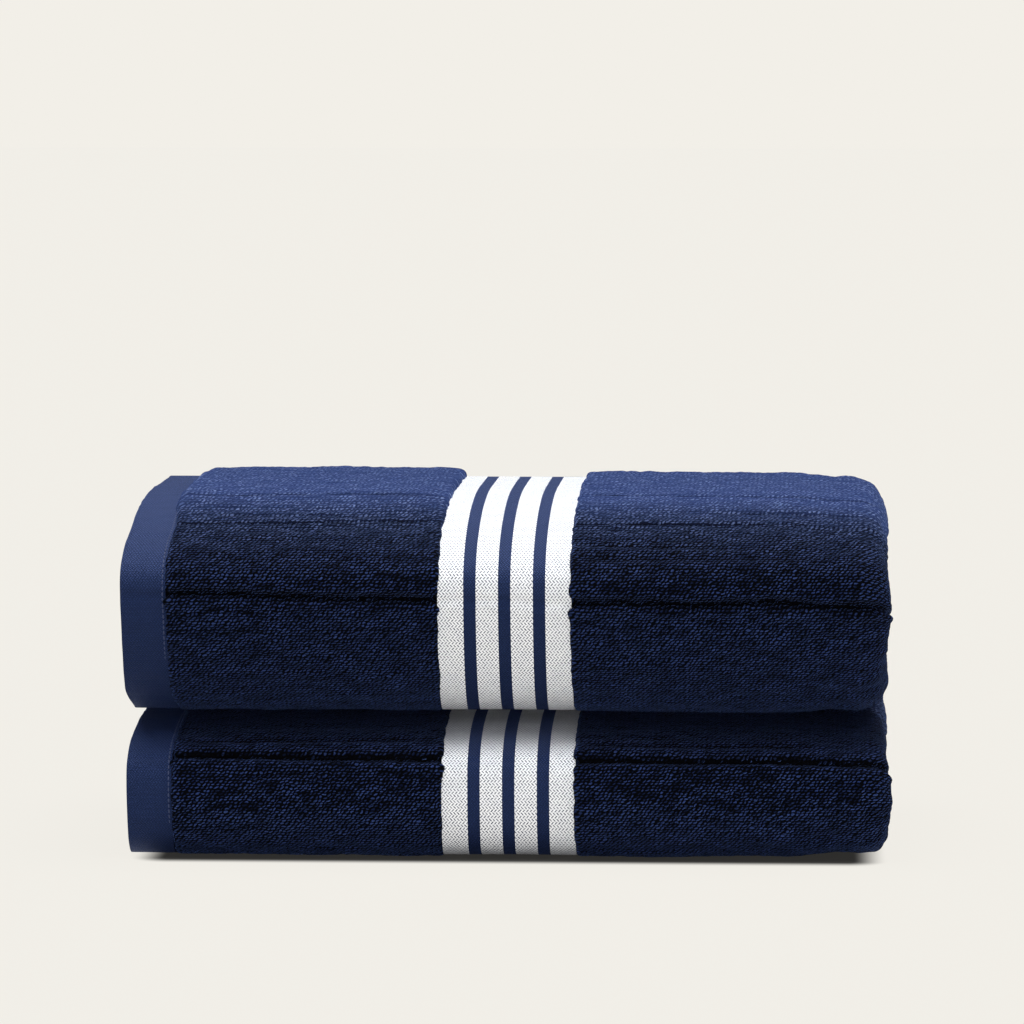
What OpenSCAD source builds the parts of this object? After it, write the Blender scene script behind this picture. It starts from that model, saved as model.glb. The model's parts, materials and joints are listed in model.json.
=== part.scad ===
// Set of two bath towels, folded and stacked.
//
// Each towel is one cut of cloth: terry with a striped flat-woven border and a hem at each
// end. It is folded twice along its length, so that every panel is four layers of cloth, and
// then in three across its width: a bottom panel, a middle panel folded onto it from the
// back, and a top panel that wraps round the front and closes over both.
//
// X runs along the folded length, Y from front to back, Z up. The origin is under the middle
// of the stack, on the surface that it stands on. All sizes are in millimetres.

/* [Stack] */
// Length of the folded set
stack_length = 378; // [340:1:420]
// Depth of the folded set, front to back
stack_depth = 260; // [230:1:290]
// Gap between cloths that lie on each other but move apart
lie_gap = 0.4; // [0.3:0.1:1]

/* [Lower towel] */
// Height of the lower towel
lower_height = 69; // [60:1:90]
// Height of its foremost line above its underside
lower_nose = 40; // [30:1:48]
// How far its hems stand back from the left end of the set
lower_inset = 2; // [0:0.5:6]

/* [Upper towel] */
// Height of the upper towel
upper_height = 107.8; // [90:0.1:120]
// Height of its foremost line above its underside
upper_nose = 68; // [50:0.5:76]

/* [Woven strips] */
// Width of the hem across each end
hem_w = 22; // [15:1:30]
// Width of the terry between hem and border
terry_end_w = 132.5; // [100:0.5:150]
// Width of the two outer white stripes of the border
white_edge_w = 12.8; // [8:0.1:16]
// Width of the two inner white stripes
white_mid_w = 11; // [8:0.1:14]
// Width of the three navy stripes
navy_stripe_w = 6.1; // [4:0.1:9]
// How much deeper the flat weave lies than the terry pile
pile_h = 2.6; // [2:0.1:3]
// Width of the narrow hems along the two long sides of the cloth
side_hem_w = 10; // [6:1:14]
// How far the top panel's free edge stops short of the back
top_setback = 13; // [12:0.5:20]

/* [Trim] */
// Width of a sewn row of thread
stitch_w = 0.9; // [0.6:0.1:1.4]
// Height of a sewn row above the cloth
stitch_h = 0.5; // [0.3:0.1:0.8]
// Blank care label: along the edge, out of the edge, and thickness
label_size = [26, 11, 0.8]; // [0.6:0.1:30]

/* [Hidden] */
LAYERS = 4;
PANELS = 3;
front_y = -stack_depth / 2;
back_y = stack_depth / 2;
right_x = stack_length / 2;
left_x = -stack_length / 2;
border_w = 2 * white_edge_w + 2 * white_mid_w + 3 * navy_stripe_w;
far_inset = 6;          // the far end's hem stands back from the near end's
fold_inset = 8;         // so does the lengthwise fold under it
side_end_inset = 4;     // side hems stop short of the folded ends
nose_gap = 3;           // air in front of the middle panel's free edge
ARC_STEP = 7.5;         // degrees between the ribs of a bend
hinge_step = 1.4;       // degrees left open under the line where the top panel turns
PANEL_STEPS = 12;       // ribs along the bottom panel, and along the middle one over it
TOP_STEPS = 16;         // ribs along the top panel

// A towel's cross-section: [underside, height, height of foremost line,
//   depth and exponent of the upper front bend, the same of the lower one]
LOWER = [0, lower_height, lower_nose, 110, 2.6, 12, 2];
UPPER = [lower_height + lie_gap, upper_height, upper_nose, 160, 2.1, 50, 1.85];

function mix(a, b, f) = a + (b - a) * f;
function panel_h(t) = t[1] / PANELS;
function nose_z(t) = t[0] + t[2];

// Height of a bend with depth a and exponent n at the distance s in front of its start
function bend(s, a, n) = pow(1 - pow(min(max(s / a, 0), 1), n), 1 / n);

// Outer faces of the folded towel at depth y
function over(t, y) =
    nose_z(t) + (t[1] - t[2]) * bend(front_y + t[3] - y, t[3], t[4]);
function under(t, y) =
    nose_z(t) - t[2] * bend(front_y + t[5] - y, t[5], t[6]);

// Level between two panels: k = 1 over the bottom panel, k = 2 over the middle one
function seam(t, y, k) = mix(under(t, y), over(t, y), k / PANELS);

// Depths where the front wrap and the back fold begin
function wrap_y(t) = front_y + 1.5 * panel_h(t);
function fold_y(t) = back_y - panel_h(t);

// A rib crosses one panel of cloth, from its outer face to its inner one
function top_ribs(t, from, to, n) = [
    for (i = [0 : n]) let (y = mix(from, to, i / n))
        [[y, over(t, y)], [y, seam(t, y, 2) + lie_gap / 2]]
];
function bottom_ribs(t) = [
    for (i = [0 : PANEL_STEPS]) let (y = mix(wrap_y(t), fold_y(t), i / PANEL_STEPS))
        [[y, under(t, y)], [y, seam(t, y, 1) - lie_gap / 2]]
];
function middle_ribs(t) = [
    for (i = [1 : PANEL_STEPS]) let (y = mix(fold_y(t), wrap_y(t), i / PANEL_STEPS))
        [[y, seam(t, y, 2) - lie_gap / 2], [y, seam(t, y, 1) + lie_gap / 2]]
];
function back_ribs(t) =
    let (y = fold_y(t), z = seam(t, y, 1), up = seam(t, y, 2) - lie_gap / 2 - z, down = z - t[0])
    [for (a = [-90 + ARC_STEP : ARC_STEP : 90])
        [[y + cos(a) * panel_h(t), z + sin(a) * (a > 0 ? up : down)],
         [y + cos(a) * lie_gap / 2, z + sin(a) * lie_gap / 2]]];

// Inner face of the front wrap: a half ellipse round the middle panel's edge
function wrap_mid(t) = mix(seam(t, wrap_y(t), 1), seam(t, wrap_y(t), 2), 0.5);
function wrap_half(t) = (seam(t, wrap_y(t), 2) - seam(t, wrap_y(t), 1) + lie_gap) / 2;
function wrap_inner(t, a) =
    [wrap_y(t) - cos(a) * panel_h(t) / 2, wrap_mid(t) + sin(a) * wrap_half(t)];

// Ribs of the front wrap, above and below its foremost line; a is 90 at the panels and 0 there
function turn(s, a, n) = asin(pow(s / a, n / 2));
function upper_wrap_ribs(t) =
    let (start = front_y + t[3], first = turn(start - wrap_y(t), t[3], t[4]))
    [for (a = [90 - ARC_STEP : -ARC_STEP : 0]) let (b = mix(90, first, a / 90))
        [[start - t[3] * pow(sin(b), 2 / t[4]),
          nose_z(t) + (t[1] - t[2]) * pow(cos(b), 2 / t[4])], wrap_inner(t, a)]];
function lower_wrap_ribs(t, open) =
    let (start = front_y + t[5], first = start > wrap_y(t) ? turn(start - wrap_y(t), t[5], t[6]) : 0,
         flat = max(wrap_y(t) - start, 0))
    [for (a = concat([open], [for (c = [ARC_STEP : ARC_STEP : 90 - ARC_STEP]) c]))
        let (b = mix(90, first, a / 90))
        [[start - t[5] * pow(sin(b), 2 / t[6]) + flat * pow(a / 90, 3),
          nose_z(t) - t[2] * pow(cos(b), 2 / t[6])], wrap_inner(t, -a)]];

function top_edge(t) = back_y - top_setback;
function flap_ribs(t) = concat(top_ribs(t, top_edge(t) - side_hem_w, wrap_y(t), TOP_STEPS),
                               upper_wrap_ribs(t));
function base_ribs(t, open) = concat(lower_wrap_ribs(t, open), bottom_ribs(t), back_ribs(t),
                                     middle_ribs(t));
function whole_ribs(t) = concat(flap_ribs(t), base_ribs(t, ARC_STEP / 2));

// Outline between two depths in the panel, as fractions of its thickness
function between(ribs, f0, f1) = concat(
    [for (r = ribs) mix(r[0], r[1], f0)],
    [for (i = [len(ribs) - 1 : -1 : 0]) mix(ribs[i][0], ribs[i][1], f1)]);

module along_x(x0, x1) {
    translate([x0, 0, 0])
        rotate([90, 0, 90])
            linear_extrude(height = x1 - x0)
                children();
}

module cloth(ribs, f0, f1, x0, x1) {
    along_x(x0, x1)
        polygon(between(ribs, f0, f1));
}

module navy_terry() {
    color([0.10, 0.14, 0.27]) children();
}

module navy_weave() {
    color([0.17, 0.21, 0.36]) children();
}

module white_weave() {
    color([0.93, 0.93, 0.94]) children();
}

// Strips of one end, counted from its hem; near = 0 is the outermost layer, 1 the one under it
function end_x(left, near) = left + near * far_inset;
function border_x(left, near) = end_x(left, near) + hem_w + terry_end_w;
function skin(t, near) = near == 0 ? pile_h / panel_h(t) : 1 / LAYERS;
function depth(near) = (near + 1) / LAYERS;

module end_hem(t, ribs, left, near) {
    x = end_x(left, near);
    navy_weave()
        cloth(ribs, skin(t, near), depth(near), x, x + hem_w);
}

module terry_end(ribs, left, near) {
    x = end_x(left, near) + hem_w;
    navy_terry()
        cloth(ribs, near / LAYERS, depth(near), x, x + terry_end_w);
}

module border_white(t, ribs, left, near) {
    x = border_x(left, near);
    step = white_mid_w + navy_stripe_w;
    inner = x + white_edge_w + navy_stripe_w;
    white_weave() {
        cloth(ribs, skin(t, near), depth(near), x, x + white_edge_w);
        for (i = [0, 1])
            cloth(ribs, skin(t, near), depth(near), inner + i * step, inner + i * step + white_mid_w);
        cloth(ribs, skin(t, near), depth(near), x + border_w - white_edge_w, x + border_w);
    }
}

module border_navy(t, ribs, left, near) {
    first = border_x(left, near) + white_edge_w;
    step = white_mid_w + navy_stripe_w;
    navy_weave()
        for (i = [0 : 2])
            cloth(ribs, skin(t, near), depth(near), first + i * step, first + i * step + navy_stripe_w);
}

module terry_field(ribs, left) {
    near_x = border_x(left, 0) + border_w;
    far_x = border_x(left, 1) + border_w;
    navy_terry() {
        cloth(ribs, 0, 1, far_x, right_x);
        cloth(ribs, 0, 1 / LAYERS, near_x, far_x);
        cloth(ribs, 2 / LAYERS, 1, left + fold_inset, far_x);
    }
}

module hem_stitching(t, ribs, left) {
    skin_f = skin(t, 0);
    x = left + hem_w - 2 * stitch_w;
    navy_weave()
        cloth(ribs, skin_f - stitch_h / panel_h(t), skin_f, x, x + stitch_w);
}

module side_hem(t, left) {
    navy_weave()
        cloth(top_ribs(t, top_edge(t), top_edge(t) - side_hem_w, 2), 0.06, 0.94,
              left + side_end_inset, right_x - side_end_inset);
}

module side_hem_inner(t, left) {
    y = wrap_y(t);
    reach = panel_h(t) / 2 - nose_gap;
    half = wrap_half(t) - lie_gap;
    navy_weave()
        along_x(left + side_end_inset, right_x - side_end_inset)
            polygon([for (a = [90 : -ARC_STEP : -90])
                [y - cos(a) * reach, wrap_mid(t) + sin(a) * half]]);
}

module care_label(t, left) {
    y = top_edge(t);
    color([0.95, 0.95, 0.93])
        translate([left + 40, y, mix(seam(t, y, 2), over(t, y), 0.5) - label_size[2] / 2])
            cube(label_size);
}

LOWER_RIBS = whole_ribs(LOWER);
UPPER_RIBS = base_ribs(UPPER, hinge_step);
FLAP_RIBS = flap_ribs(UPPER);
lower_left = left_x + lower_inset;

// Lower towel
end_hem(LOWER, LOWER_RIBS, lower_left, 0);  // lower_end_hem
terry_end(LOWER_RIBS, lower_left, 0);  // lower_terry_end
border_white(LOWER, LOWER_RIBS, lower_left, 0);  // lower_border_white
border_navy(LOWER, LOWER_RIBS, lower_left, 0);  // lower_border_navy
terry_field(LOWER_RIBS, lower_left);  // lower_terry_field
end_hem(LOWER, LOWER_RIBS, lower_left, 1);  // lower_far_end_hem
terry_end(LOWER_RIBS, lower_left, 1);  // lower_far_terry_end
border_white(LOWER, LOWER_RIBS, lower_left, 1);  // lower_far_border_white
border_navy(LOWER, LOWER_RIBS, lower_left, 1);  // lower_far_border_navy
hem_stitching(LOWER, LOWER_RIBS, lower_left);  // lower_hem_stitching
side_hem(LOWER, lower_left);  // lower_side_hem
side_hem_inner(LOWER, lower_left);  // lower_side_hem_inner
care_label(LOWER, lower_left);  // lower_care_label

// Upper towel: its bottom and middle panels, with the lower half of the front wrap
end_hem(UPPER, UPPER_RIBS, left_x, 0);  // upper_end_hem
terry_end(UPPER_RIBS, left_x, 0);  // upper_terry_end
border_white(UPPER, UPPER_RIBS, left_x, 0);  // upper_border_white
border_navy(UPPER, UPPER_RIBS, left_x, 0);  // upper_border_navy
terry_field(UPPER_RIBS, left_x);  // upper_terry_field
end_hem(UPPER, UPPER_RIBS, left_x, 1);  // upper_far_end_hem
terry_end(UPPER_RIBS, left_x, 1);  // upper_far_terry_end
border_white(UPPER, UPPER_RIBS, left_x, 1);  // upper_far_border_white
border_navy(UPPER, UPPER_RIBS, left_x, 1);  // upper_far_border_navy
hem_stitching(UPPER, UPPER_RIBS, left_x);  // upper_hem_stitching
side_hem_inner(UPPER, left_x);  // upper_side_hem_inner

// Its top panel, which turns up about the foremost line
end_hem(UPPER, FLAP_RIBS, left_x, 0);  // flap_end_hem
terry_end(FLAP_RIBS, left_x, 0);  // flap_terry_end
border_white(UPPER, FLAP_RIBS, left_x, 0);  // flap_border_white
border_navy(UPPER, FLAP_RIBS, left_x, 0);  // flap_border_navy
terry_field(FLAP_RIBS, left_x);  // flap_terry_field
end_hem(UPPER, FLAP_RIBS, left_x, 1);  // flap_far_end_hem
terry_end(FLAP_RIBS, left_x, 1);  // flap_far_terry_end
border_white(UPPER, FLAP_RIBS, left_x, 1);  // flap_far_border_white
border_navy(UPPER, FLAP_RIBS, left_x, 1);  // flap_far_border_navy
hem_stitching(UPPER, FLAP_RIBS, left_x);  // flap_hem_stitching
side_hem(UPPER, left_x);  // flap_side_hem
care_label(UPPER, left_x);  // flap_care_label
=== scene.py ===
"""Two folded bath towels, one on the other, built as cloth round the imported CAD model.

Each towel is one strip of cloth. Lengthwise it is folded twice, so that every panel is four
layers deep, and then in three across its width. A point of the cloth has three coordinates:
u runs along the strip from its near hem, v runs round the folded section (0 on the foremost
line, positive over the top), and depth counts from the outside of a panel to its inside.

Lengths are in millimetres until a mesh is made, which is in metres.
"""

import json
import math
from types import SimpleNamespace

import bpy
import numpy as np
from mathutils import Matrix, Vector


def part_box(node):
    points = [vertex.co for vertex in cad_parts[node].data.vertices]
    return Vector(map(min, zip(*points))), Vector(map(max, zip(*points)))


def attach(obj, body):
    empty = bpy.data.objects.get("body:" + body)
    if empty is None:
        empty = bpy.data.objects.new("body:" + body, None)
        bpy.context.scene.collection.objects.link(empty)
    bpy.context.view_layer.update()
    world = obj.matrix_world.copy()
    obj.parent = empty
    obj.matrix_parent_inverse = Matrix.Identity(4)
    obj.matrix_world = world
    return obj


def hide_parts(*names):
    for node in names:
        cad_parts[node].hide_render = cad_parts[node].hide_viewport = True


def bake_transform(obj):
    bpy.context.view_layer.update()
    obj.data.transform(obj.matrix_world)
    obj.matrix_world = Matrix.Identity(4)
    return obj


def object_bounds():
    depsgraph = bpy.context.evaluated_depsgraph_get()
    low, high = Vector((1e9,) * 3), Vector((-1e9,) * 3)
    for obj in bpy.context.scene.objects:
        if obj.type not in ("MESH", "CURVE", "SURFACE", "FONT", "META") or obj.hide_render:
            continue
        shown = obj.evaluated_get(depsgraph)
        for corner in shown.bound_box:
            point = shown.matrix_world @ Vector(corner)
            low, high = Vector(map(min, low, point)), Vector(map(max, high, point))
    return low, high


MM = 0.001

# ---------------------------------------------------------------- the frame

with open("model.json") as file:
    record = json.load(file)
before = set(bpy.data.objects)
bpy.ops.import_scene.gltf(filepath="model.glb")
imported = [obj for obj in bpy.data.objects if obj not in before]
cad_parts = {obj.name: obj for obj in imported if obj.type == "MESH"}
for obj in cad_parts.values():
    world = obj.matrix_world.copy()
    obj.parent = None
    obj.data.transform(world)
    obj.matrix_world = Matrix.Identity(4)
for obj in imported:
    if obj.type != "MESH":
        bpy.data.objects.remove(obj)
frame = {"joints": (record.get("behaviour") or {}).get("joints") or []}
CAD_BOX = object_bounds()
FRONT_Y = CAD_BOX[0].y / MM
BACK_Y = CAD_BOX[1].y / MM
RIGHT_X = CAD_BOX[1].x / MM


def extent(node, axis):
    """Lowest and highest coordinate of a CAD node along an axis, in millimetres."""
    low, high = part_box(node)
    return low[axis] / MM, high[axis] / MM


HINGE = next(j for j in frame["joints"] if j["name"] == "upper_unfold")
HINGE_Y, HINGE_Z = (c / MM for c in HINGE["pos_m"][1:])
TOP_EDGE = extent("flap_side_hem", 1)[1]
SIDE_HEM_W = TOP_EDGE - extent("flap_side_hem", 1)[0]
HEM_W = extent("lower_end_hem", 0)[1] - extent("lower_end_hem", 0)[0]
TERRY_END_W = extent("lower_terry_end", 0)[1] - extent("lower_terry_end", 0)[0]
BORDER_X = extent("lower_border_white", 0)
BORDER_W = BORDER_X[1] - BORDER_X[0]
WHITE_EDGE_W = extent("lower_border_navy", 0)[0] - BORDER_X[0]
NAVY_W = 6.1            # one navy stripe; the white ones between take the rest
WHITE_MID_W = (BORDER_W - 2 * WHITE_EDGE_W - 3 * NAVY_W) / 2
FAR_INSET = extent("upper_far_end_hem", 0)[0] - extent("upper_end_hem", 0)[0]
LIE_GAP = extent("upper_terry_field", 2)[0] - extent("lower_terry_field", 2)[1]

# ---------------------------------------------------------------- cloth facts

PILE_H = 2.6            # how far the terry stands above the flat weaves
PILE_EDGE = 2.2         # width over which the pile rounds down beside a flat weave
PILE_FOOT = 0.4         # how far the foot of that rounding stays above the flat weave
WEAVE_T = 2.2           # thickness of a doubled hem or of the border
LAYER_FILL = 0.94       # share of a layer's room that the terry takes
SIDE_HEM_T = 2.4        # thickness of the narrow hems along the two long sides
NOSE_GAP = 3.0          # air in front of the middle panel's free edge
STITCH_W = 0.9          # width, height and length of one stitch
STITCH_H = 0.5
STITCH_L = 2.3
STITCH_PITCH = 3.0      # from one stitch to the next
FINE = 0.85     # mesh spacing where the cloth is seen
MEDIUM = 2.4      # in bends, and where it is covered
COARSE = 5.0      # inside, and where it lies flat
SKIP = 3                # the hidden face of a layer keeps every third line
CELLS = 96              # cells of random numbers each way before the noise repeats


def lerp(a, b, t):
    """The value at the share t of the way from a to b."""
    return a + (b - a) * t


def smooth(t):
    """Runs evenly from 0 to 1 as t does."""
    t = np.clip(t, 0, 1)
    return t * t * (3 - 2 * t)


def ramp(value, start, run):
    """Rises evenly from 0 at start to 1 at the distance run past it."""
    return smooth((value - start) / run)


def noise(u, v, size_u, size_v, seed):
    """Smooth value noise from -1 to 1 with cells of that size, the same on every run."""
    table = np.random.RandomState(seed).uniform(-1, 1, (CELLS, CELLS))
    a, b = u / size_u + 31.7, v / size_v + 17.3
    i, j = np.floor(a).astype(int), np.floor(b).astype(int)
    s, t = smooth(a - i), smooth(b - j)
    left, right, down, up = i % CELLS, (i + 1) % CELLS, j % CELLS, (j + 1) % CELLS
    low = lerp(table[left, down], table[right, down], s)
    high = lerp(table[left, up], table[right, up], s)
    return lerp(low, high, t)


# ---------------------------------------------------------------- cross-section


def bend(s, depth, power):
    """Height of a bend, from 1 to 0, at the distance s in front of its start."""
    return (1 - np.clip(s / depth, 0, 1) ** power) ** (1 / power)


class Section:
    """Folded section of one towel: ribs from the outer face of a panel to its inner one.

    A rib is a row of y and z on the outer face and y and z on the inner face. Each part of the
    section is a method that takes t from 0 to 1 along the part and returns its ribs. A bend is
    given by its depth behind the nose and by the power of its curve, 2 for an ellipse.
    """

    def __init__(self, bottom, top, nose_z, upper_bend, lower_bend):
        self.bottom, self.top, self.nose_z = bottom, top, nose_z
        self.up_depth, self.up_power = upper_bend
        self.low_depth, self.low_power = lower_bend
        self.panel = (top - bottom) / 3
        self.layer = self.panel / 4
        self.wrap_y = FRONT_Y + 1.5 * self.panel
        self.fold_y = BACK_Y - self.panel
        seams = self.seam(self.wrap_y, 1), self.seam(self.wrap_y, 2)
        self.wrap_mid = sum(seams) / 2
        self.wrap_half = (seams[1] - seams[0] + LIE_GAP) / 2

    def over(self, y):
        """Height of the towel's upper outline."""
        rise = bend(FRONT_Y + self.up_depth - y, self.up_depth, self.up_power)
        return self.nose_z + (self.top - self.nose_z) * rise

    def under(self, y):
        """Height of the towel's lower outline."""
        drop = bend(FRONT_Y + self.low_depth - y, self.low_depth, self.low_power)
        return self.nose_z - (self.nose_z - self.bottom) * drop

    def seam(self, y, k):
        """Height of the line between panels: k is 1 over the lowest panel and 2 over the next."""
        return lerp(self.under(y), self.over(y), k / 3)

    def flat_ribs(self, y, outer, inner):
        return np.stack([y, outer, y, inner], 1)

    def top_panel(self, t, start):
        y = lerp(start, self.wrap_y, t)
        return self.flat_ribs(y, self.over(y), self.seam(y, 2) + LIE_GAP / 2)

    def side_hem(self, t):
        return self.top_panel(t * SIDE_HEM_W / (TOP_EDGE - self.wrap_y), TOP_EDGE)

    def inner_wrap(self, a):
        """Inner face of the front bend at an angle over its middle: y and z."""
        y = self.wrap_y - np.cos(a) * self.panel / 2
        return y, self.wrap_mid + np.sin(a) * self.wrap_half

    def upper_wrap(self, t):
        start = FRONT_Y + self.up_depth
        first = math.asin(((start - self.wrap_y) / self.up_depth) ** (self.up_power / 2))
        b = lerp(first, math.pi / 2, t)
        y = start - self.up_depth * np.sin(b) ** (2 / self.up_power)
        cosine = np.clip(np.cos(b), 0, 1)
        z = self.nose_z + (self.top - self.nose_z) * cosine ** (2 / self.up_power)
        return np.stack([y, z, *self.inner_wrap((1 - t) * math.pi / 2)], 1)

    def lower_wrap(self, t):
        start = FRONT_Y + self.low_depth
        past = max(start - self.wrap_y, 0)
        first = math.asin((past / self.low_depth) ** (self.low_power / 2))
        b = lerp(math.pi / 2, first, t)
        flat = max(self.wrap_y - start, 0) * t**3
        y = start - self.low_depth * np.sin(b) ** (2 / self.low_power) + flat
        cosine = np.clip(np.cos(b), 0, 1)
        z = self.nose_z - (self.nose_z - self.bottom) * cosine ** (2 / self.low_power)
        return np.stack([y, z, *self.inner_wrap(-t * math.pi / 2)], 1)

    def bottom_panel(self, t):
        y = lerp(self.wrap_y, self.fold_y, t)
        return self.flat_ribs(y, self.under(y), self.seam(y, 1) - LIE_GAP / 2)

    def back_fold(self, t):
        a = lerp(-math.pi / 2, math.pi / 2, t)
        z = self.seam(self.fold_y, 1)
        up = self.seam(self.fold_y, 2) - LIE_GAP / 2 - z
        reach = np.where(a > 0, up, z - self.bottom)
        return np.stack([
            self.fold_y + np.cos(a) * self.panel,
            z + np.sin(a) * reach,
            self.fold_y + np.cos(a) * LIE_GAP / 2,
            z + np.sin(a) * LIE_GAP / 2,
        ], 1)

    def middle_panel(self, t):
        y = lerp(self.fold_y, self.wrap_y, t)
        return self.flat_ribs(y, self.seam(y, 2) - LIE_GAP / 2, self.seam(y, 1) + LIE_GAP / 2)

    def inner_edge(self, t):
        """The middle panel's free edge, inside the front wrap."""
        reach = self.panel / 2 - NOSE_GAP
        back = max(SIDE_HEM_W + 0.2 - reach, 0)
        y = self.wrap_y + back - (reach + back) * t
        forward = np.clip((self.wrap_y - y) / reach, 0, 1)
        half = (self.wrap_half - LIE_GAP) * np.sqrt(1 - (0.8 * forward) ** 2)
        return self.flat_ribs(y, self.wrap_mid + half, self.wrap_mid - half)

    def ribs(self, parts):
        """Ribs of consecutive parts, each (name, function, spacing), with v along them."""
        t = np.linspace(0, 1, 500)
        made, names, lengths = [], [], []
        for name, shape, spacing in parts:
            dense = shape(t)
            run = np.concatenate([[0], np.cumsum(np.hypot(*np.diff(dense[:, :2], axis=0).T))])
            count = max(int(math.ceil(run[-1] / spacing)), 2)
            at = np.linspace(0, run[-1], count + 1)[1 if made else 0:]
            made.append(np.stack([np.interp(at, run, dense[:, i]) for i in range(4)], 1))
            lengths.append(at + lengths[-1][-1] if lengths else at)
            names += [name] * len(at)
        rows = np.concatenate(made)
        return SimpleNamespace(
            outer=rows[:, :2], inner=rows[:, 2:], run=np.concatenate(lengths),
            part=np.array(names))


LOWER = Section(
    bottom=extent("lower_terry_field", 2)[0],
    top=extent("lower_terry_field", 2)[1],
    nose_z=40.0,
    upper_bend=(110.0, 2.6),
    lower_bend=(12.0, 2.0),
)
UPPER = Section(
    bottom=extent("upper_terry_field", 2)[0],
    top=extent("flap_terry_field", 2)[1],
    nose_z=HINGE_Z,
    upper_bend=(160.0, 2.1),
    lower_bend=(50.0, 1.85),
)

# ---------------------------------------------------------------- lengthwise fold


class Strip:
    """The cloth's way through the layers of a panel, from its near end to its far end."""

    def __init__(self, section, left, fold_x):
        self.left, layer = left, section.layer
        right = RIGHT_X - 2 * layer
        fold = fold_x + layer
        self.points, self.normals = [], []
        self.line(left, right, 0.5 * layer, -1)
        self.arc(right, 2 * layer, 1.5 * layer, -90, 90, 1)
        self.outer_turn_end = self.length()
        self.line(right, fold, 3.5 * layer, 1)
        self.arc(fold, 3 * layer, 0.5 * layer, 90, 270, 1)
        self.line(fold, right, 2.5 * layer, -1)
        self.arc(right, 2 * layer, 0.5 * layer, 90, -90, -1)
        self.line(right, left + FAR_INSET, 1.5 * layer, 1)
        self.at = np.concatenate(self.points)
        self.facing = np.concatenate(self.normals)
        steps = np.hypot(*np.diff(self.at, axis=0).T)
        self.run = np.concatenate([[0], np.cumsum(steps)])
        self.total = self.run[-1]

    def length(self):
        points = np.concatenate(self.points)
        return float(np.hypot(*np.diff(points, axis=0).T).sum())

    def line(self, x0, x1, depth, side):
        """A flat run at one depth; side is the way its outer face looks."""
        x = np.linspace(x0, x1, 300)
        self.points.append(np.stack([x, np.full_like(x, depth)], 1))
        self.normals.append(np.tile([0.0, side], (len(x), 1)))

    def arc(self, x, depth, radius, start, end, side):
        """A turn round a centre, from and to an angle in degrees."""
        a = np.radians(np.linspace(start, end, 60)[1:-1])
        way = np.stack([np.cos(a), np.sin(a)], 1)
        self.points.append(np.array([x, depth]) + radius * way)
        self.normals.append(side * way)

    def cut(self, u0, u1, spacing):
        """Points between two places along the strip: x, depth, facing and u."""
        count = max(int(math.ceil((u1 - u0) / spacing)), 2)
        u = np.linspace(u0, u1, count + 1)
        if spacing == FINE:
            close = PILE_EDGE * np.array([0.06, 0.2, 0.45])     # follows the rounded pile edge
            u = np.unique(np.concatenate([u, u0 + close, u1 - close]))
        at = np.stack([np.interp(u, self.run, self.at[:, i]) for i in (0, 1)], 1)
        facing = np.stack([np.interp(u, self.run, self.facing[:, i]) for i in (0, 1)], 1)
        return SimpleNamespace(u=u, at=at, facing=facing)


# ---------------------------------------------------------------- relief of the terry

# A groove pressed in while the towel lay folded: u from and to, v at its two ends, how far
# it wanders, depth and half width. The first of each table is the crease along the front.
UPPER_GROOVES = [
    (0, 470, -5.0, -11.5, 1.5, 3.2, 2.1),
    (14, 150, 48.0, 51.0, 1.0, 1.0, 1.5),
    (30, 130, 60.0, 58.0, 1.5, 0.5, 2.0),
    (215, 420, 49.0, 50.0, 1.2, 1.1, 1.4),
    (225, 300, 24.0, 22.0, 1.2, 0.8, 1.6),
    (290, 430, 68.0, 71.0, 1.5, 0.7, 1.8),
    (210, 420, 112.0, 108.0, 2.0, 0.9, 2.4),
    (20, 160, 96.0, 100.0, 2.0, 0.8, 2.4),
    (230, 330, 13.0, 14.0, 1.0, 0.7, 1.8),
]
LOWER_GROOVES = [
    (0, 470, 13.0, 9.5, 0.7, 2.6, 1.9),
    (62, 118, 1.5, 8.0, 0.6, 0.8, 1.4),
    (225, 330, 22.0, 20.0, 1.0, 0.9, 1.6),
    (30, 140, 23.0, 25.0, 1.0, 0.8, 1.6),
]
GROOVE_DARK = 1.3           # depth at which hardly any light is left in a groove
TOP_LIGHT_AT = (-10, 120)        # v where the painted top light begins, and its run
# On the lower towel, where the upper one comes close and then lies on it:
SHADE_AT = (13, 22)         # v where its painted shade begins, and its run
COVER_AT = (60, 60)         # where the painted shade ends, on the top seen only when uncovered
COVER_TOP_LIGHT = 0.6            # how much painted top light the covered top gets
DRIFT_REACH = 75            # how far along the strip the slip of its near end is felt
END_SINK = 1.0              # how far the folded end on the right sinks in
END_RUN = (325.0, 352.0)    # and over which part of the strip, along u


def grooves(u, v, table):
    """Height of the cloth over the pressed grooves, with the lips beside them."""
    height = np.zeros(np.broadcast(u, v).shape)
    for i, (start, end, v0, v1, wander, depth, half) in enumerate(table):
        along = (u - start) / (end - start)
        line = lerp(v0, v1, along) + wander * noise(u, v * 0, 34, 1, 50 + i)
        ends = smooth((u - start) / 12 + 0.5) * smooth((end - u) / 12 + 0.5)
        line = line + 0.4 * noise(u, v * 0, 5, 1, 60 + i)
        off = (v - line) / (half * (1 + 0.3 * noise(u, v * 0, 11, 1, 70 + i)))
        upper_lip = 0.1 * np.exp(-((off - 2.2) / 1.1) ** 2)
        lower_lip = 0.35 * np.exp(-((off + 2.2) / 1.1) ** 2)
        dip = np.exp(-off**2) - (upper_lip + lower_lip)
        height -= depth * ends * dip * (1 + 0.25 * noise(u, v, 9, 9, 80 + i))
    return height


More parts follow.
